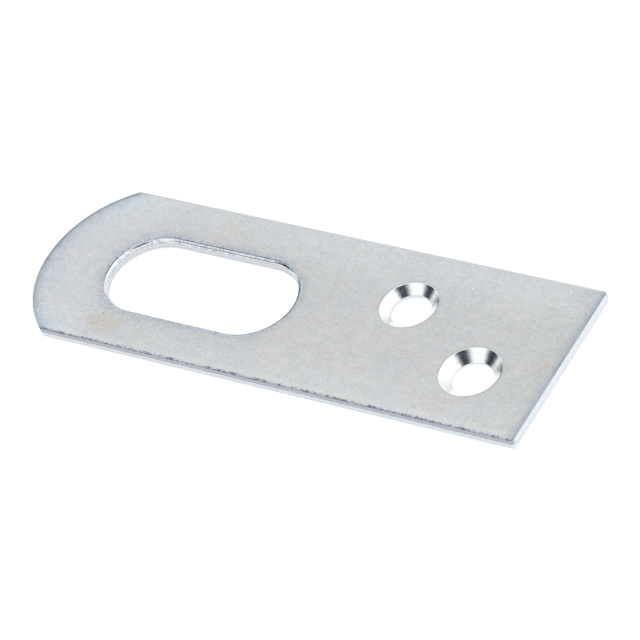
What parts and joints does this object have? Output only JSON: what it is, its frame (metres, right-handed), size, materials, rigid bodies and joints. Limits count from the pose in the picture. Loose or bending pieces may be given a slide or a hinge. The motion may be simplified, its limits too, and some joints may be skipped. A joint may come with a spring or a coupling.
{
  "type": "slotted plate",
  "caption": "Flat steel plate with an arc end, a long round-ended slot and staggered countersunk screw holes, such as a keeper plate for a hasp or bolt.",
  "frame": {"origin": "centre of the underside's outline, on the back face", "axes": "+X along the plate towards the square end with the screw holes, +Y across it, +Z out of the countersunk face"},
  "size_m": [0.12, 0.04, 0.0025],
  "materials": {
    "zinc_plated_steel": "clear passivated zinc plating, satin and faintly mottled"
  },
  "bodies": {
    "root": {"slotted_plate": "zinc_plated_steel"}
  },
  "joints": []
}
